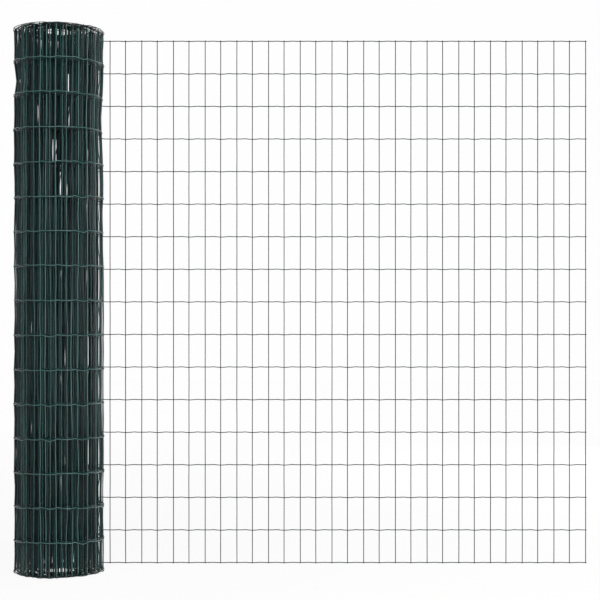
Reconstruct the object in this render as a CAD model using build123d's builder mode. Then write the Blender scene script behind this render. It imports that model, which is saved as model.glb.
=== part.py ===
from build123d import *
from math import pi, sqrt
import os

# A part-used roll of green plastic-coated welded wire fencing, standing on its end.
# The origin is on the roll's axis at the floor and +Z is up. The unrolled stretch
# leaves the far side of the roll and runs along +X.

# Mesh
long_cell = 49.8  # between uprights, in turn with the short cell
short_cell = 47.5
cell_height = 100.0  # between line wires
cells_high = 16
wire_diameter = 2.2  # over the plastic coat
upright_stub = 3.0  # past the centre of the edge line wires
line_stub = 3.2  # past the centre of the last upright
weld_depth = 0.9  # how far two crossing wires run into each other: the coat runs over both

# Roll
outer_diameter = 270.0
bore_diameter = 80.0
end_rings = 17  # rings that show on an end, about two for every three turns of the mesh
ring_depth = 5.0  # how deep the gap between two rings is

# Unrolled stretch
first_upright = 84.4  # from the roll's axis to the first upright well clear of the roll
upright_count = 32
stretch_names = ["unrolled_mesh_start", "unrolled_mesh_middle", "unrolled_mesh_end"]
roll_gap = 0.3  # between the roll and the line wires that leave it

outer_radius = outer_diameter / 2
bore_radius = bore_diameter / 2
roll_height = cells_high * cell_height + 2 * upright_stub
ring_width = (outer_radius - bore_radius) / end_rings

# A wire is a square bar of the round wire's section, set on its edge,
# so that crossing wires meet edge to edge.
bar_side = wire_diameter * sqrt(pi) / 2
bar_reach = bar_side / sqrt(2)  # from the bar's centre to its edges
line_y = outer_radius - bar_reach
upright_y = line_y - 2 * bar_reach + weld_depth

line_levels = [upright_stub + index * cell_height for index in range(cells_high + 1)]

# The line wires start where their inner edge is clear of the roll.
line_start = sqrt((outer_radius + roll_gap) ** 2 - (line_y - bar_reach) ** 2)


def end_points(level, inward):
    """One end of the roll's section, from the bore outwards: a crest for each ring."""
    points = [(bore_radius, level)]
    for ring in range(end_rings):
        inner = bore_radius + ring * ring_width
        points.append((inner + ring_width / 2, level))
        if ring < end_rings - 1:
            points.append((inner + ring_width, level + inward * ring_depth))
    points.append((outer_radius, level))
    return points


def upright_x(index):
    """Where an upright of the unrolled stretch stands: long and short cells by turns."""
    pairs, odd = divmod(index, 2)
    return first_upright + pairs * (long_cell + short_cell) + odd * long_cell


def first_in(stretch_index):
    """The first upright of one of the pieces that the flat mesh is cut into."""
    return round(stretch_index * upright_count / len(stretch_names))


def cut_after(upright_index):
    """Where the line wires end: halfway to the next upright, or a stub past the last."""
    if upright_index == upright_count - 1:
        return upright_x(upright_index) + line_stub
    return (upright_x(upright_index) + upright_x(upright_index + 1)) / 2


os.makedirs("parts", exist_ok=True)

with BuildPart() as roll:
    with BuildSketch(Plane.XZ) as roll_section:
        with BuildLine():
            Polyline(*end_points(0, 1), *reversed(end_points(roll_height, -1)), close=True)
        make_face()
    revolve(axis=Axis.Z)
roll.part.label = "roll"
export_step(roll.part, "parts/roll.step")

start = line_start
for index, name in enumerate(stretch_names):
    upright_indices = range(first_in(index), first_in(index + 1))
    end = cut_after(upright_indices[-1])
    with BuildPart() as stretch:
        with BuildSketch(Plane.YZ.offset(start)) as line_wires:
            with Locations(*[(line_y, level) for level in line_levels]):
                Rectangle(bar_side, bar_side, rotation=45)
        extrude(amount=end - start)
        with BuildSketch(Plane.XY) as uprights:
            with Locations(*[(upright_x(i), upright_y) for i in upright_indices]):
                Rectangle(bar_side, bar_side, rotation=45)
        extrude(amount=roll_height)
    stretch.part.label = name
    export_step(stretch.part, f"parts/{name}.step")
    start = end
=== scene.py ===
import math

import bpy
import numpy as np
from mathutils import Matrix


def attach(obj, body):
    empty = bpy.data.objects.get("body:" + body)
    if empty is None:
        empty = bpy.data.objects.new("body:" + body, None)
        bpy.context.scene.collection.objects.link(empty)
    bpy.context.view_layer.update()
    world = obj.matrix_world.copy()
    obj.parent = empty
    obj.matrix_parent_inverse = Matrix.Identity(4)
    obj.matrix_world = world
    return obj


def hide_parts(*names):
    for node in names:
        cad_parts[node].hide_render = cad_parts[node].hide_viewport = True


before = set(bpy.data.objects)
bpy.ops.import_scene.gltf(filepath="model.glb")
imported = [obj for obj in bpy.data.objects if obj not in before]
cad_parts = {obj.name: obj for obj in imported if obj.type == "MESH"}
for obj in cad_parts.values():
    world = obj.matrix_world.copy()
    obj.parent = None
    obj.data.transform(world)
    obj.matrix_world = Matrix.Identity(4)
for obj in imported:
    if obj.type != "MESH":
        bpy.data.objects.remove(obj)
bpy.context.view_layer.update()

# A part-used roll of green coated welded mesh. Sizes of the mesh are in millimetres, and
# buildWires turns them to metres. Lamps, floor and world are in metres.
metre = 0.001

wires = {
    "diameter": 2.2,  # over the plastic coat
    "longCell": 49.8,  # uprights stand a long and a short cell apart by turns
    "shortCell": 47.5,
    "cellHeight": 100.0,
    "lineWires": 17,
    "lowestLine": 3.0,
    "lineStub": 2.7,
    "weldDepth": 0.9,  # the wires are welded bare, and the coat runs over both
    "edgeMargin": 1.6,  # least height of a line wire's centre over the floor
    "edgeRoom": 0.5,  # how near a wire of the inner turns may come to the mesh's edge
    "cutShort": 0.65,  # uprights end at least this far inside the mesh's height
    "cutUneven": 0.5,  # and up to this much further in
    "endGap": 0.5,  # from the last bend of an upright to its end
}
wires["radius"] = wires["diameter"] / 2
wires["pair"] = wires["longCell"] + wires["shortCell"]
wires["behind"] = wires["diameter"] - wires["weldDepth"]  # line wire centre to upright centre

# The crimps that keep a line wire tight: places along a pair of cells, from the
# crossing at the left, with how wide and how high each one is
crimps = {
    "bumps": [(25.0, 7.0, 0.85), (48.5, 12.0, -1.0), (74.0, 6.5, 0.85)],
    "inRoll": 2.3,  # winding sharpens them
    "uneven": 0.5,  # on the roll
    "atEdge": 0.6,  # on the lowest and the highest line wire
}

flat = {
    "lastUpright": 1593.7,  # from the roll's axis
    "lineY": 133.62,
    "diameter": 2.6,  # drawn thicker than it is, as thin wires fade against white
    "jitter": 0.12,  # how far an upright is off its place
}

roll = {
    "lineRadius": 131.9,  # centre of the outermost line wires
    "easing": 0.35,  # radians over which the flat mesh settles on to the roll
    "dentsWithin": 0.9,  # radians over which the dents and the flare set in
    "pitch": 3.62,
    "turns": 24.6,
    "height": 1606.0,
    "innerDiameter": 2.5,  # the wires of the inner turns
    "waist": 0.8,  # how far the uprights bend in between two line wires
    "belly": 1.0,  # on the right side they bend out instead
    "chord": 1.2,  # how much flatter than a circle a line wire runs between two uprights
    "spread": 0.618,  # part of a cell that each turn's uprights are ahead of the last
    "seed": 11,
}

# How much the wires of the roll stray from an even mesh. A count of uprights or of waves
# says how far one slow change reaches along the mesh, or how many fit in the height.
slack = {
    "fromMesh": 40.0,  # it sets in this far before the roll, over the next length
    "overMesh": 160.0,
    "lean": 2.4,
    "leanUprights": 9,
    "leanWaves": 5,
    "sway": 0.5,
    "swayWaves": 16,
    "bow": 0.55,
    "bowWaves": 32,
    "bowAtWelds": 0.35,
    "inward": 0.45,
    "inwardUprights": 3,
    "inwardWaves": 10,
    "sag": 0.3,  # uprights lie further in between two line wires
    "sagUneven": 0.35,
    "inwardLeast": -0.5,
    "inwardMost": 1.6,
    "lift": 1.3,  # line wires go up and down
    "liftUprights": 5,
    "liftWaves": 8,
    "liftUneven": 0.8,
    "slip": 1.2,  # whole turns have slipped up and down
    "slipUprights": 6,
    "short": 1.4,  # bowed uprights make the inner turns this much shorter at each end
    "shortShare": (0.6, 0.4),  # the even and the uneven part of that
    "shortUprights": 4,
    "innerFrom": 0.6,  # turns after which a turn counts as an inner one
    "innerOver": 0.8,
}

# Where the photograph sees daylight right through the roll: x and heights as they
# look at the roll's axis, and the width of the slit
daylight = [
    (5.0, 1115, 1187, 3.0), (30.6, 1329, 1377, 2.6), (28.8, 1420, 1475, 2.6),
    (-8.0, 1225, 1279, 2.3), (-17.3, 1225, 1279, 2.2), (88.0, 604, 696, 1.8),
    (88.0, 298, 384, 1.4), (86.4, 1234, 1285, 1.7), (18.7, 607, 646, 0.9),
    (18.7, 304, 334, 0.9), (24.6, 1118, 1145, 2.0), (-61.3, 1338, 1380, 1.7),
]

# Long bright streaks near the right edge, open in each cell but the shut ones
edgeStreaks = [
    {"x": 119.0, "width": 1.35, "fromCell": 0, "toCell": 15, "shut": (4, 13)},
    {"x": 129.0, "width": 0.8, "fromCell": 0, "toCell": 8, "shut": (1, 3)},
]
streakInCell = (12, 95)  # heights in the cell
for streak in edgeStreaks:
    for cell in range(streak["fromCell"], streak["toCell"]):
        if cell not in streak["shut"]:
            low, high = (wires["cellHeight"] * cell + height for height in streakInCell)
            daylight.append((streak["x"], low, high, streak["width"]))

# Small glints of daylight, most of them seen again three cells further down
glints = {
    "places": [
        (6.8, 882), (6.8, 571), (6.8, 270), (83.5, 1080), (83.5, 882), (-81.0, 727), (-81.0, 428),
    ],
    "tall": 22,
    "width": 0.9,
}
for x, z in glints["places"]:
    daylight.append((x, z - glints["tall"] / 2, z + glints["tall"] / 2, glints["width"]))

# Specks of daylight just inside the rims, where the stubs of the uprights splay
rimSpecks = {
    "bands": [(-22, 20), (1586, 1628)],
    "count": 27,
    "reach": 120.0,
    "stray": 7,
    "tall": (12, 34),
    "width": 3.0,  # of the widest
    "narrowest": 0.2,  # in parts of the widest
    "seed": 3,
}
speckRng = np.random.default_rng(rimSpecks["seed"])
for low, high in rimSpecks["bands"]:
    for x in np.linspace(-rimSpecks["reach"], rimSpecks["reach"], rimSpecks["count"]):
        shift, middle, tall, wide = speckRng.uniform(
            (-rimSpecks["stray"], low, rimSpecks["tall"][0], rimSpecks["narrowest"]),
            (rimSpecks["stray"], high, rimSpecks["tall"][1], 1.0),
        )
        wide *= rimSpecks["width"]
        daylight.append((x + shift, middle - tall / 2, middle + tall / 2, wide))

# How far the silhouette stands out from a true cylinder, by height: the roll has been
# dented on both sides below its top, and flares at the bottom
rightSide = [
    (0, 6.5), (95, 7.0), (165, 5.0), (190, 6.5), (244, 4.8), (290, 7.0), (360, 6.5), (414, 7.0),
    (570, 6.5), (612, 7.0), (735, 6.8), (913, 6.0), (960, 3.5), (1010, 4.5), (1065, 1.5),
    (1109, 5.0), (1216, 3.5), (1350, -1.5), (1420, 3.5), (1500, 6.3), (1540, 2.0), (1590, 6.5),
    (1606, 5.0),
]
leftSide = [
    (0, 2.2), (240, 0.5), (300, 2.0), (400, 1.0), (500, 2.0), (1060, 2.0), (1100, 0.0),
    (1140, 2.2), (1410, 2.2), (1455, -3.5), (1510, 2.0), (1606, 1.6),
]

# How far the line wires have slipped up at the sides of the roll, by height
rightLift = [
    (3, 0), (103, -8), (203, -8), (403, -5), (603, -2), (725, 0), (1103, 5), (1303, 2),
    (1503, 1), (1603, -3),
]
leftLift = [
    (3, 4), (103, -8), (203, -8), (403, -5), (603, -2), (725, 0), (1103, 7), (1503, 7), (1603, 3),
]


def toLinear(hexColour):
    # sRGB hex to the linear values that a shader socket takes
    parts = [int(hexColour[i:i + 2], 16) / 255 for i in (1, 3, 5)]
    return [c / 12.92 if c <= 0.04045 else ((c + 0.055) / 1.055) ** 2.4 for c in parts] + [1.0]


def smooth(t):
    t = np.clip(t, 0.0, 1.0)
    return t * t * (3 - 2 * t)


def wander(rng, shape, stepsAcross, stepsAlong):
    # Smooth random surface of the given shape, from a coarse grid of random values
    rows = rng.normal(size=(stepsAcross + 2, stepsAlong + 2))
    at = np.linspace(0, stepsAcross, shape[0])
    low = np.floor(at).astype(int)
    mix = smooth(at - low)[:, None]
    tall = rows[low] * (1 - mix) + rows[low + 1] * mix
    at = np.linspace(0, stepsAlong, shape[1])
    low = np.floor(at).astype(int)
    mix = smooth(at - low)[None, :]
    return tall[:, low] * (1 - mix) + tall[:, low + 1] * mix


# Mesh length runs from the free end towards the core.
meshAtTangent = flat["lastUpright"] + wires["lineStub"]
meanCell = wires["pair"] / 2


def turnTable():
    # Mesh length at the start of each turn. Each turn takes the whole number of cells
    # nearest to its own length, plus the spread, so that uprights fall between uprights.
    starts = [meshAtTangent]
    for turn in range(math.ceil(roll["turns"])):
        radius = roll["lineRadius"] - roll["pitch"] * (turn + 0.5)
        cells = 2 * math.pi * radius / meanCell
        cells = round(cells - roll["spread"]) + roll["spread"]
        starts.append(starts[-1] + cells * meanCell)
    return np.array(starts)


turnStarts = turnTable()
meshEnd = np.interp(roll["turns"], np.arange(len(turnStarts)), turnStarts)


def uprightAt(index):
    return wires["lineStub"] + (index // 2) * wires["pair"] + (index % 2) * wires["longCell"]


uprightCount = 0
while uprightAt(uprightCount) < meshEnd - wires["lineStub"]:
    uprightCount += 1
uprightMesh = uprightAt(np.arange(uprightCount))


def angleAt(mesh):
    # Radians round the roll from the place where the flat mesh touches it
    return np.interp(mesh, turnStarts, 2 * np.pi * np.arange(len(turnStarts)))


def rolledShare(mesh):
    # 0 on the flat mesh and 1 on the roll
    return smooth((mesh - meshAtTangent + slack["fromMesh"]) / slack["overMesh"])


def bySide(side, z, right, left):
    # A value that is listed by height for the roll's right and left sides
    return np.where(side > 0, np.interp(z, *zip(*right)), np.interp(z, *zip(*left)))


def place(mesh, z, inward, sideways):
    # Where a point of the mesh is: on the flat stretch, or on its turn of the roll
    mesh, z, inward, sideways = np.broadcast_arrays(mesh, z, inward, sideways)
    angle = angleAt(mesh)
    stepOut = flat["lineY"] - roll["lineRadius"]
    radius = roll["lineRadius"] - roll["pitch"] * angle / (2 * np.pi)
    radius = radius + stepOut * np.exp(-angle / roll["easing"])
    theta = angle + np.pi / 2
    side = np.cos(theta)
    outline = side ** 2 * bySide(side, z, rightSide, leftSide)
    bulge = np.sin(np.pi * (z - wires["lowestLine"]) / wires["cellHeight"]) ** 2
    outline = outline + bulge * np.where(side > 0, roll["belly"] * side ** 2, -roll["waist"])
    settled = smooth(angle / roll["dentsWithin"])
    radius = radius + outline * settled * radius / roll["lineRadius"] - inward
    theta = theta + sideways / np.maximum(radius, 1.0)
    onFlat = mesh < meshAtTangent
    x = np.where(onFlat, meshAtTangent - mesh - sideways, radius * np.cos(theta))
    y = np.where(onFlat, flat["lineY"] - inward, radius * np.sin(theta))
    return np.stack([x, y, z], axis=-1)


def crimpAt(mesh):
    along = (wires["lineStub"] - mesh) % wires["pair"]
    height = np.zeros_like(along)
    for centre, width, tall in crimps["bumps"]:
        for copy in (-wires["pair"], 0, wires["pair"]):
            height += tall * np.exp(-((along - centre + copy) / width) ** 2)
    return height


def catmull(values, steps):
    # Smooth values between the grid's columns, so that a wire bends and has no kinks
    padded = np.concatenate([values[:, :1], values, values[:, -1:]], axis=1)
    t = np.arange(steps) / steps
    p0, p1, p2, p3 = (padded[:, i:i + values.shape[1] - 1, None] for i in range(4))
    out = 0.5 * (
        2 * p1
        + (p2 - p0) * t
        + (2 * p0 - 5 * p1 + 4 * p2 - p3) * t ** 2
        + (3 * p1 - p0 - 3 * p2 + p3) * t ** 3
    )
    out = out.reshape(len(values), -1)
    return np.concatenate([out, values[:, -1:]], axis=1)


# Every upright's own shape, on a grid of heights: each second one is a line wire
rng = np.random.default_rng(roll["seed"])
gridStep = wires["cellHeight"] / 2
gridHeights = wires["lowestLine"] + gridStep * np.arange(2 * wires["lineWires"] - 1)
gridShape = (uprightCount, len(gridHeights))
everyUpright = uprightCount - 1
inRoll = rolledShare(uprightMesh)[:, None]
leanGrid = wander(rng, gridShape, uprightCount // slack["leanUprights"], slack["leanWaves"])
leanGrid *= slack["lean"]
leanGrid += wander(rng, gridShape, everyUpright, slack["swayWaves"]) * slack["sway"]
bowGrid = wander(rng, gridShape, everyUpright, slack["bowWaves"]) * slack["bow"]
bowGrid[:, ::2] *= slack["bowAtWelds"]
jitterGrid = rng.normal(size=gridShape) * flat["jitter"] * (1 - inRoll)
sidewaysGrid = (leanGrid + bowGrid) * inRoll + jitterGrid
inwardGrid = wander(rng, gridShape, uprightCount // slack["inwardUprights"], slack["inwardWaves"])
inwardGrid *= slack["inward"]
between = inwardGrid[:, 1::2]
between += slack["sag"] + rng.normal(size=between.shape) * slack["sagUneven"]
inwardGrid = np.clip(inwardGrid, slack["inwardLeast"], slack["inwardMost"]) * inRoll

# How far each line wire is above its level where it crosses each upright
inner = smooth((angleAt(uprightMesh) / (2 * np.pi) - slack["innerFrom"]) / slack["innerOver"])
liftShape = (wires["lineWires"], uprightCount)
liftGrid = wander(rng, liftShape, slack["liftWaves"], uprightCount // slack["liftUprights"])
liftGrid *= slack["lift"]
liftGrid += rng.normal(size=liftShape) * slack["liftUneven"]
perTurn = (2, uprightCount)
slip = wander(rng, perTurn, 1, uprightCount // slack["slipUprights"])[0] * slack["slip"]
evenShort, unevenShort = slack["shortShare"]
shortBy = evenShort + unevenShort * wander(rng, perTurn, 1, uprightCount // slack["shortUprights"])
shortBy *= slack["short"] * inner
share = np.linspace(-1, 1, wires["lineWires"])[:, None]
liftGrid += (slip * inner)[None, :] - share * np.where(share > 0, shortBy[1], shortBy[0])
theta = angleAt(uprightMesh) + np.pi / 2
sideLift = bySide(np.cos(theta)[None, :], gridHeights[::2, None], rightLift, leftLift)
liftGrid += sideLift * (1 - np.abs(np.sin(theta)))[None, :]
liftGrid *= inRoll[:, 0][None, :]
edgeLift = wires["lowestLine"] - roll["innerDiameter"] / 2 - wires["edgeRoom"]
liftGrid[0] = np.maximum(liftGrid[0], -edgeLift)
liftGrid[-1] = np.minimum(liftGrid[-1], edgeLift)

fineSteps = 2
heights = catmull(gridHeights[None, :], fineSteps)[0]
sideways = catmull(sidewaysGrid, fineSteps)
inward = catmull(inwardGrid, fineSteps)
print("uprights", uprightCount, "mesh length", round(float(meshEnd)), "turns", roll["turns"])

# Where the camera stands
eye = {
    "x": 717.1,
    "distance": 4051.0,
    "height": 725.0,
}

# How the uprights share out the width of the roll that the eye sees
springing = {
    "rows": 68,  # heights at which they do so
    "lowest": -15.0,
    "highest": 1621.0,
    "midHeight": 800.0,  # where each upright's distance from the eye is taken
    "rimRounds": 20,  # first only the near uprights move, and only at the rims
    "evenRounds": 40,  # until here each moves to the middle between its neighbours
    "smoothRounds": 80,
    "rounds": 90,
    "keep": 0.6,  # how much of a shift stays at its own height as it is smoothed
    "overlap": 0.15,  # how far neighbours hide each other's edges
    "slitMargin": 10.0,  # above and below a slit, where its gap may stay open
    "sideRoom": 1.5,  # how far an upright may shift at the roll's two sides
    "faceRoom": 3.2,  # and on its near and far faces
    "sidesFrom": 0.8,  # cosine from which an upright counts as being at a side
    "outward": 0.6,  # how far out an upright of the outermost turn may spring
    "outwardFrom": 0.5,  # cosine from which that limit holds
    "rimFrom": 690.0,  # the rims set in this far from the middle of the height
    "rimOver": 80.0,
    "rimHold": 0.9,  # share of a later shift that the near uprights don't take there
}


def springLimits(theta, angle, rowInward):
    # How far each upright may shift to the left and to the right, as the eye sees it: the
    # outermost turn isn't carried out of its place
    side = np.cos(theta)
    wide = np.abs(side) > springing["sidesFrom"]
    most = np.where(wide, springing["sideRoom"], springing["faceRoom"]) * np.ones_like(rowInward)
    least = -most
    outer = (angle < 2 * np.pi) & (np.abs(side) > springing["outwardFrom"])
    room = (rowInward + springing["outward"]) / np.maximum(np.abs(side), springing["outwardFrom"])
    least = np.where(outer & (side < 0), np.maximum(least, -room), least)
    most = np.where(outer & (side > 0), np.minimum(most, room), most)
    return least, most


def pullTogether(ranked, reach, rows):
    # Half of each bare gap between neighbours, unless it is one of the slits
    bare = (ranked[1:] - reach[1:]) - (ranked[:-1] + reach[:-1]) + springing["overlap"]
    margin = springing["slitMargin"]
    for slitX, low, high, width in daylight:
        inSlit = (ranked[:-1] < slitX) & (ranked[1:] > slitX)
        bare[inSlit & (rows > low - margin) & (rows < high + margin)] = 0.0
    bare = np.clip(bare, 0.0, None)
    pull = np.zeros_like(ranked)
    pull[:-1] += 0.5 * bare
    pull[1:] -= 0.5 * bare
    return pull


def springApart():
    # Uprights spring apart until each has found room between its neighbours, as seen from
    # the eye, so that daylight is left only in the slits. Moves the sideways and inward
    # shapes above.
    first = int(np.searchsorted(uprightMesh, meshAtTangent))
    mesh = uprightMesh[first:, None]
    angle = angleAt(mesh)
    theta = angle + np.pi / 2
    centre = place(mesh[:, 0], springing["midHeight"], wires["behind"], 0.0)
    away = (centre[:, 1:2] + eye["distance"]) / eye["distance"]
    rows = np.linspace(springing["lowest"], springing["highest"], springing["rows"])
    z = eye["height"] + (rows[None, :] - eye["height"]) * away
    rowSideways = np.array([np.interp(h, heights, v) for h, v in zip(z, sideways[first:])])
    rowInward = np.array([np.interp(h, heights, v) for h, v in zip(z, inward[first:])])
    spot = place(mesh, z, rowInward + wires["behind"], rowSideways)
    beyond = spot[..., 1] + eye["distance"]
    seen = eye["x"] + (spot[..., 0] - eye["x"]) * eye["distance"] / beyond
    thick = np.where(angle < 4 * np.pi, wires["radius"], roll["innerDiameter"] / 2)
    half = thick / away * np.ones_like(seen)
    least, most = springLimits(theta, angle, rowInward)
    near = centre[:, 1] < 0
    fromMiddle = np.abs(rows - roll["height"] / 2)
    atRims = smooth((fromMiddle - springing["rimFrom"]) / springing["rimOver"])[None, :]
    shift = np.zeros_like(seen)
    for count in range(springing["rounds"]):
        rimRound = count < springing["rimRounds"]
        who = near if rimRound else slice(None)
        now = (seen + shift)[who]
        order = np.argsort(now, axis=0)
        ranked = np.take_along_axis(now, order, axis=0)
        if count < springing["evenRounds"]:
            pull = np.zeros_like(ranked)
            pull[1:-1] = 0.5 * ((ranked[2:] + ranked[:-2]) / 2 - ranked[1:-1])
        else:
            pull = pullTogether(ranked, np.take_along_axis(half[who], order, axis=0), rows)
        back = np.zeros_like(pull)
        np.put_along_axis(back, order, pull, axis=0)
        held = 1 - springing["rimHold"] * atRims * near[:, None]
        shift[who] += back * (atRims if rimRound else held)
        if count < springing["smoothRounds"]:
            padded = np.concatenate([shift[:, :1], shift, shift[:, -1:]], axis=1)
            keep, spill = springing["keep"], (1 - springing["keep"]) / 2
            shift = spill * padded[:, :-2] + keep * padded[:, 1:-1] + spill * padded[:, 2:]
        for slitX, low, high, width in daylight:
            touched = (rows > low) & (rows < high)
            apart = (seen + shift)[:, touched] - slitX
            clear = width / 2 + half[:, touched]
            push = np.where(np.abs(apart) < clear, np.sign(apart) * clear - apart, 0.0)
            shift[:, touched] += push
        shift = np.clip(shift, least, most)
    for i in range(len(shift)):
        level = eye["height"] + (heights - eye["height"]) / away[i]
        moved = np.interp(level, rows, shift[i])
        sideways[first + i] -= np.sin(theta[i]) * moved
        inward[first + i] -= np.cos(theta[i]) * moved


springApart()
print("uprights settled")


def uprightPaths(first, last):
    # Centre lines of the uprights from one index to another, with their stubs
    cutRng = np.random.default_rng(first + 1)
    ends = wires["cutShort"] + wires["cutUneven"] * cutRng.random((2, last - first))
    bottom = np.maximum(ends[0], liftGrid[0, first:last] + ends[0])[:, None]
    top = (roll["height"] - np.maximum(ends[1], ends[1] - liftGrid[-1, first:last]))[:, None]
    tall = np.repeat(heights[None, :], last - first, axis=0)
    tall = np.clip(tall, bottom + wires["endGap"], top - wires["endGap"])
    tall = np.concatenate([bottom, tall, top], axis=1)
    across, deep = (
        np.concatenate([shape[first:last, :1], shape[first:last], shape[first:last, -1:]], axis=1)
        for shape in (sideways, inward)
    )
    return place(uprightMesh[first:last, None], tall, deep + wires["behind"], across)


def linePaths(fromMesh, toMesh, perCell):
    # Centre lines of the line wires over a stretch of the mesh, one row each
    count = max(2, round((toMesh - fromMesh) / meanCell * perCell)) + 1
    mesh = np.linspace(fromMesh, toMesh, count)
    levels = wires["lowestLine"] + wires["cellHeight"] * np.arange(wires["lineWires"])
    rolled = rolledShare(mesh)
    wave = crimpAt(mesh) * (1 + (crimps["inRoll"] - 1) * rolled)
    chord = np.sin(np.pi * np.interp(mesh, uprightMesh, np.arange(uprightCount))) ** 2
    cellRng = np.random.default_rng(int(fromMesh))
    rows = []
    for line, level in enumerate(levels):
        lift = np.interp(mesh, uprightMesh, liftGrid[line])
        deep = np.interp(mesh, uprightMesh, inward[:, 2 * fineSteps * line])
        deep = deep + rolled * roll["chord"] * chord
        stray = np.interp(mesh, uprightMesh, cellRng.normal(size=uprightCount))
        uneven = 1 + rolled * crimps["uneven"] * stray
        edge = crimps["atEdge"] if line in (0, wires["lineWires"] - 1) else 1.0
        z = level + lift + wave * uneven * edge
        z = np.clip(z, wires["edgeMargin"], roll["height"] - wires["edgeMargin"])
        rows.append(place(mesh, z, deep, 0.0))
    return np.array(rows)


# The small domed end of a wire, in parts of its radius
wireEnd = {
    "reach": 0.35,
    "narrow": 0.62,
}


def tubes(paths, sides, up, radius):
    # Round wires along rows of points. A wire of few sides has the same section as a
    # round one.
    radius = radius * math.sqrt(2 * math.pi / (sides * math.sin(2 * math.pi / sides)))
    along = np.gradient(paths, axis=1)
    along /= np.linalg.norm(along, axis=2, keepdims=True)
    across = np.cross(along, np.array(up, float))
    across /= np.linalg.norm(across, axis=2, keepdims=True)
    over = np.cross(across, along)
    first = paths[:, :1] - along[:, :1] * radius * wireEnd["reach"]
    last = paths[:, -1:] + along[:, -1:] * radius * wireEnd["reach"]
    centres = np.concatenate([first, paths, last], axis=1)
    across = np.concatenate([across[:, :1], across, across[:, -1:]], axis=1)
    over = np.concatenate([over[:, :1], over, over[:, -1:]], axis=1)
    size = np.full(centres.shape[1], radius)
    size[[0, -1]] *= wireEnd["narrow"]
    turn = 2 * np.pi * (np.arange(sides) + 0.5) / sides
    points = (
        centres[:, :, None, :]
        + size[None, :, None, None] * np.cos(turn)[None, None, :, None] * across[:, :, None, :]
        + size[None, :, None, None] * np.sin(turn)[None, None, :, None] * over[:, :, None, :]
    )
    rows, rings = points.shape[:2]
    here = np.arange(rows * rings * sides).reshape(rows, rings, sides)
    beside = np.roll(here, -1, axis=2)
    quads = np.stack([here[:, :-1], beside[:, :-1], beside[:, 1:], here[:, 1:]], axis=-1)
    caps = np.concatenate([here[:, 0, ::-1], here[:, -1]])
    return points.reshape(-1, 3), quads.reshape(-1, 4), caps


def buildWires(name, tube, tone, nodes):
    # One mesh from a set of tubes, with a tone for each wire or for each point of it
    verts, quads, caps = tube
    corners = np.concatenate([quads.reshape(-1), caps.reshape(-1)])
    capStarts = quads.size + np.arange(len(caps)) * caps.shape[1]
    starts = np.concatenate([np.arange(len(quads)) * quads.shape[1], capStarts])
    shade = np.repeat(tone.reshape(-1), len(verts) // tone.size)
    data = bpy.data.meshes.new(name)
    data.vertices.add(len(verts))
    data.vertices.foreach_set("co", (verts * metre).astype(np.float32).reshape(-1))
    data.loops.add(len(corners))
    data.loops.foreach_set("vertex_index", corners.astype(np.int32))
    data.polygons.add(len(starts))
    data.polygons.foreach_set("loop_start", starts.astype(np.int32))
    data.polygons.foreach_set("use_smooth", np.ones(len(starts), bool))
    data.update(calc_edges=True)
    data.validate()
    wireTone = data.attributes.new("wireTone", "FLOAT", "POINT")
    wireTone.data.foreach_set("value", shade.astype(np.float32))
    data.materials.append(coatMaterial)
    piece = bpy.data.objects.new(name, data)
    bpy.context.scene.collection.objects.link(piece)
    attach(piece, "root")
    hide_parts(*nodes)
    print(name, "triangles", sum(len(p.vertices) - 2 for p in data.polygons))


def addNode(tree, kind, settings=None, links=None):
    # Adds a node, sets its values and links its inputs
    node = tree.nodes.new(kind)
    for key, value in (settings or {}).items():
        if isinstance(key, int) or key in node.inputs:
            node.inputs[key].default_value = value
        else:
            setattr(node, key, value)
    for key, source in (links or {}).items():
        tree.links.new(source, node.inputs[key])
    return node


coat = {
    "colours": [(0.0, "#07191A"), (0.25, "#052F31"), (0.65, "#0E4D4D"), (1.0, "#638F8B")],
    "roughness": (0.27, 0.4),
    "ior": 1.53,
    "mottleMm": 9.0,  # patches where the skin is paler and duller
    "mottle": 0.4,
    "skinMm": 0.8,  # the extruded skin isn't quite even
    "skinDepthMm": 0.05,
    "skinStrength": 0.06,
}


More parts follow.
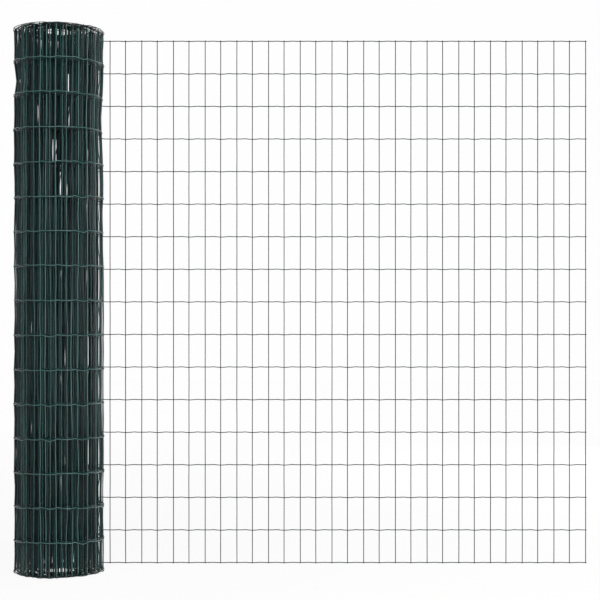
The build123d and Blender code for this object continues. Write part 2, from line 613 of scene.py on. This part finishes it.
def coatedWire():
    # Galvanised steel wire under extruded PVC: a smooth, slightly waxy skin, so broad soft
    # highlights on a dark green that dulls a little from wire to wire
    material = bpy.data.materials.new("pvcCoatedSteelWire")
    material.use_nodes = True
    tree = material.node_tree
    tree.nodes.clear()
    where = addNode(tree, "ShaderNodeTexCoord")
    tone = addNode(tree, "ShaderNodeAttribute", {"attribute_name": "wireTone"})
    mottle = addNode(tree, "ShaderNodeTexNoise",
                     {"Scale": 1 / (coat["mottleMm"] * metre), "Detail": 3.0},
                     {"Vector": where.outputs["Object"]})
    mottled = addNode(tree, "ShaderNodeMath", {"operation": "SUBTRACT", 1: 0.5},
                      {0: mottle.outputs["Fac"]})
    mixed = addNode(tree, "ShaderNodeMath", {"operation": "MULTIPLY_ADD", 1: coat["mottle"]},
                    {0: mottled.outputs["Value"], 2: tone.outputs["Fac"]})
    ramp = addNode(tree, "ShaderNodeValToRGB", links={"Fac": mixed.outputs["Value"]})
    while len(ramp.color_ramp.elements) < len(coat["colours"]):
        ramp.color_ramp.elements.new(0.5)
    for element, (position, colour) in zip(ramp.color_ramp.elements, coat["colours"]):
        element.position = position
        element.color = toLinear(colour)
    skin = addNode(tree, "ShaderNodeTexNoise",
                   {"Scale": 1 / (coat["skinMm"] * metre), "Detail": 2.0},
                   {"Vector": where.outputs["Object"]})
    smoothest, roughest = coat["roughness"]
    rough = addNode(tree, "ShaderNodeMapRange", {"To Min": smoothest, "To Max": roughest},
                    {"Value": mottle.outputs["Fac"]})
    bump = addNode(tree, "ShaderNodeBump",
                   {"Strength": coat["skinStrength"], "Distance": coat["skinDepthMm"] * metre},
                   {"Height": skin.outputs["Fac"]})
    shader = addNode(tree, "ShaderNodeBsdfPrincipled", {"IOR": coat["ior"]}, {
        "Base Color": ramp.outputs["Color"],
        "Roughness": rough.outputs["Result"],
        "Normal": bump.outputs["Normal"],
    })
    addNode(tree, "ShaderNodeOutputMaterial", links={"Surface": shader.outputs["BSDF"]})
    return material


coatMaterial = coatedWire()

# How pale each wire's coat is, on the scale of the coat's colours; part of it is painted light and
# shade by how deep a wire lies in the roll
tones = {
    "flat": 0.3,
    "line": 1.4,  # the outermost line wires, painted pale as if lit
    # painted shade: turns over which the line wires darken further into the roll
    "paintedShadeTurns": 1.3,
    "lineUneven": 0.15,
    # painted shade: share of their tone that the lowest and highest line wires keep
    "rim": 0.1,
    "upright": (0.0, 0.95),
    # painted light and shade by depth: uprights palest one to four turns in, darker further into
    # the roll
    "uprightLightAndShadeByTurn": [(0, 0.75), (1.5, 1.25), (4, 1.1), (8, 0.6), (24, 0.25)],
    "paleUpright": 0.25,
    "paleShare": 0.12,
    "seed": 5,
}
toneRng = np.random.default_rng(tones["seed"])


def stretchOfRoll(name, fromTurn, toTurn, perCell, lineSides, uprightSides, radius):
    # Some turns of the roll: their line wires as one piece and their uprights as another
    fromMesh, toMesh = np.interp([fromTurn, toTurn], np.arange(len(turnStarts)), turnStarts)
    lines = linePaths(fromMesh, toMesh, perCell)
    turns = np.linspace(fromTurn, toTurn, lines.shape[1] + 2)
    # Painted light and shade: the outermost line wires are painted pale as if lit, and darker turn
    # by turn further in
    lineTones = tones["line"] * np.exp(-turns / tones["paintedShadeTurns"])[None, :]
    lineTones = lineTones + tones["lineUneven"] * toneRng.random((len(lines), 1))
    # Painted shade: the lowest and highest line wires are painted nearly black
    lineTones[[0, -1]] *= tones["rim"]
    lineTubes = tubes(lines, lineSides, (0, 0, 1), radius)
    buildWires(name + "LineWires", lineTubes, lineTones, ["roll"])
    first, last = np.searchsorted(uprightMesh, [fromMesh, toMesh])
    stand = uprightPaths(first, last)
    standTones = toneRng.uniform(*tones["upright"], len(stand))
    turns = angleAt(uprightMesh[first:last]) / (2 * np.pi)
    # Painted light and shade: uprights are painted palest in the outer turns and darker deeper in
    standTones *= np.interp(turns, *zip(*tones["uprightLightAndShadeByTurn"]))
    standTones += tones["paleUpright"] * (toneRng.random(len(stand)) < tones["paleShare"])
    standTubes = tubes(stand, uprightSides, (1, 0, 0), radius)
    buildWires(name + "Uprights", standTubes, standTones, ["roll"])


def flatStretch(sides, perCell):
    # The unrolled mesh: its line wires as one piece and its uprights as another
    nodes = ["unrolled_mesh_start", "unrolled_mesh_middle", "unrolled_mesh_end"]
    radius = flat["diameter"] / 2
    lines = linePaths(0.0, meshAtTangent, perCell)
    lineTones = tones["flat"] * toneRng.random(len(lines))
    buildWires("flatLineWires", tubes(lines, sides, (0, 0, 1), radius), lineTones, nodes)
    stand = uprightPaths(0, int(np.searchsorted(uprightMesh, meshAtTangent)))
    standTones = tones["flat"] * toneRng.random(len(stand))
    buildWires("flatUprights", tubes(stand, sides, (1, 0, 0), radius), standTones, nodes)


# The further in, the fewer points and sides a wire needs
flatStretch(8, 10)
stretchOfRoll("outerTurns", 0, 2, 12, 8, 8, wires["radius"])
stretchOfRoll("middleTurns", 2, 8, 8, 6, 6, roll["innerDiameter"] / 2)
stretchOfRoll("innerTurns", 8, roll["turns"], 4, 5, 5, roll["innerDiameter"] / 2)
print("wires built")

camera = {
    "frameWidth": 600,  # pixels
    "focalLength": 1363.0,  # pixels
    "horizonPixel": 327.3,
    "sensorMm": 36.0,
    "clipEnd": 50.0,
}
view = bpy.data.cameras.new("camera")
view.sensor_width = camera["sensorMm"]
view.lens = camera["sensorMm"] * camera["focalLength"] / camera["frameWidth"]
view.shift_y = (camera["horizonPixel"] - camera["frameWidth"] / 2) / camera["frameWidth"]
view.clip_end = camera["clipEnd"]
viewpoint = bpy.data.objects.new("camera", view)
viewpoint.location = (eye["x"] * metre, -eye["distance"] * metre, eye["height"] * metre)
viewpoint.rotation_euler = (math.pi / 2, 0, 0)
bpy.context.scene.collection.objects.link(viewpoint)
bpy.context.scene.camera = viewpoint

studio = {
    "backdropWhite": 0.99,
    "mirroredFrom": 0.3,  # reflections that point this much to the back show the backdrop
    "backStrength": 0.1,  # how much the white backdrop lights the fencing
    "frontStrength": 0.02,  # and the room behind the camera
    "frontTo": -0.2,
    "backFrom": 0.5,
    "floorColour": "#F4F4F2",
    "floorSize": 30.0,
    "floorMirroredFrom": -0.3,  # reflections of the floor show it pale from this far back
    "floorGlow": (0.91, 0.975),  # near the fencing and far from it, as the camera sees it
    "fadeFrom": 0.6,  # from the roll's axis
    "fadeTo": 6.0,
    "floorPaint": 0.2,  # how much of the floor's own colour and shadow the camera sees
}


def showsWhite(tree, where, fromY):
    # 1 for the rays that see the white backdrop: the camera's, those that pass through
    # glass, and reflections that end beyond a place towards the back
    path = addNode(tree, "ShaderNodeLightPath")
    parts = addNode(tree, "ShaderNodeSeparateXYZ", links={0: where})
    behind = addNode(tree, "ShaderNodeMath", {"operation": "GREATER_THAN", 1: fromY},
                     {0: parts.outputs["Y"]})
    mirrored = addNode(tree, "ShaderNodeMath", {"operation": "MULTIPLY"},
                       {0: path.outputs["Is Glossy Ray"], 1: behind.outputs["Value"]})
    straight = addNode(tree, "ShaderNodeMath", {"operation": "MAXIMUM"},
                       {0: path.outputs["Is Camera Ray"], 1: path.outputs["Is Transmission Ray"]})
    either = addNode(tree, "ShaderNodeMath", {"operation": "MAXIMUM"},
                     {0: straight.outputs["Value"], 1: mirrored.outputs["Value"]})
    return either.outputs["Value"]


def whiteBackdrop():
    world = bpy.data.worlds.new("studio")
    bpy.context.scene.world = world
    world.use_nodes = True
    tree = world.node_tree
    tree.nodes.clear()
    way = addNode(tree, "ShaderNodeTexCoord")
    parts = addNode(tree, "ShaderNodeSeparateXYZ", links={0: way.outputs["Generated"]})
    strength = addNode(tree, "ShaderNodeMapRange", {
        "From Min": studio["frontTo"],
        "From Max": studio["backFrom"],
        "To Min": studio["frontStrength"],
        "To Max": studio["backStrength"],
    }, {"Value": parts.outputs["Y"]})
    dome = addNode(tree, "ShaderNodeBackground", {"Color": (1, 1, 1, 1)},
                   {"Strength": strength.outputs["Result"]})
    white = addNode(tree, "ShaderNodeBackground",
                    {"Color": (1, 1, 1, 1), "Strength": studio["backdropWhite"]})
    seen = showsWhite(tree, way.outputs["Generated"], studio["mirroredFrom"])
    mixed = addNode(tree, "ShaderNodeMixShader",
                    links={0: seen, 1: dome.outputs[0], 2: white.outputs[0]})
    addNode(tree, "ShaderNodeOutputWorld", links={"Surface": mixed.outputs[0]})


def paintedFloor():
    # Matt off-white studio paint: no gloss, and pale enough to meet the backdrop unseen
    material = bpy.data.materials.new("paintedStudioFloor")
    material.use_nodes = True
    tree = material.node_tree
    tree.nodes.clear()
    paint = addNode(tree, "ShaderNodeBsdfDiffuse", {"Color": toLinear(studio["floorColour"])})
    where = addNode(tree, "ShaderNodeTexCoord")
    far = addNode(tree, "ShaderNodeVectorMath", {"operation": "LENGTH"},
                  {0: where.outputs["Object"]})
    near, distant = (glow / (1 - studio["floorPaint"]) for glow in studio["floorGlow"])
    strength = addNode(tree, "ShaderNodeMapRange", {
        "From Min": studio["fadeFrom"],
        "From Max": studio["fadeTo"],
        "To Min": near,
        "To Max": distant,
    }, {"Value": far.outputs["Value"]})
    white = addNode(tree, "ShaderNodeEmission", {"Color": (1, 1, 1, 1)},
                    {"Strength": strength.outputs["Result"]})
    pale = addNode(tree, "ShaderNodeMixShader", {0: 1 - studio["floorPaint"]},
                   {1: paint.outputs[0], 2: white.outputs[0]})
    seen = showsWhite(tree, where.outputs["Object"], studio["floorMirroredFrom"])
    mixed = addNode(tree, "ShaderNodeMixShader",
                    links={0: seen, 1: paint.outputs[0], 2: pale.outputs[0]})
    addNode(tree, "ShaderNodeOutputMaterial", links={"Surface": mixed.outputs[0]})
    return material


whiteBackdrop()
half = studio["floorSize"] / 2
floorMesh = bpy.data.meshes.new("floor")
floorCorners = [(-half, -half, 0), (half, -half, 0), (half, half, 0), (-half, half, 0)]
floorMesh.from_pydata(floorCorners, [], [(0, 1, 2, 3)])
floorMesh.materials.append(paintedFloor())
floor = bpy.data.objects.new("floor", floorMesh)
bpy.context.scene.collection.objects.link(floor)

# Strip lights stand upright so that each upright wire shows a narrow highlight, and the
# one overhead picks out the line wires: watts, width and height, place
lamps = {
    "rightStrip": (67.0, (0.5, 2.4), (2.6, -3.2, 0.95)),
    "leftStrip": (8.0, (0.5, 2.4), (-2.6, -2.6, 1.3)),
    "overhead": (35.0, (2.0, 0.6), (0.2, -3.0, 3.2)),
    "rearStrip": (45.0, (0.5, 2.4), (3.4, 3.2, 1.6)),
}
lampTarget = (0.3, 0.0, 0.8)


def addLamp(name, power, size, location):
    lamp = bpy.data.lights.new(name, "AREA")
    lamp.shape = "RECTANGLE"
    lamp.energy = power
    lamp.size, lamp.size_y = size
    body = bpy.data.objects.new(name, lamp)
    body.location = location
    aim = [t - l for t, l in zip(lampTarget, location)]
    tilt = math.atan2(math.hypot(aim[0], aim[1]), -aim[2])
    body.rotation_euler = (tilt, 0, math.atan2(aim[1], aim[0]) - math.pi / 2)
    bpy.context.scene.collection.objects.link(body)


for lampName, (power, size, location) in lamps.items():
    addLamp(lampName, power, size, location)
print("studio built")

bpy.context.scene.view_settings.view_transform = "Standard"
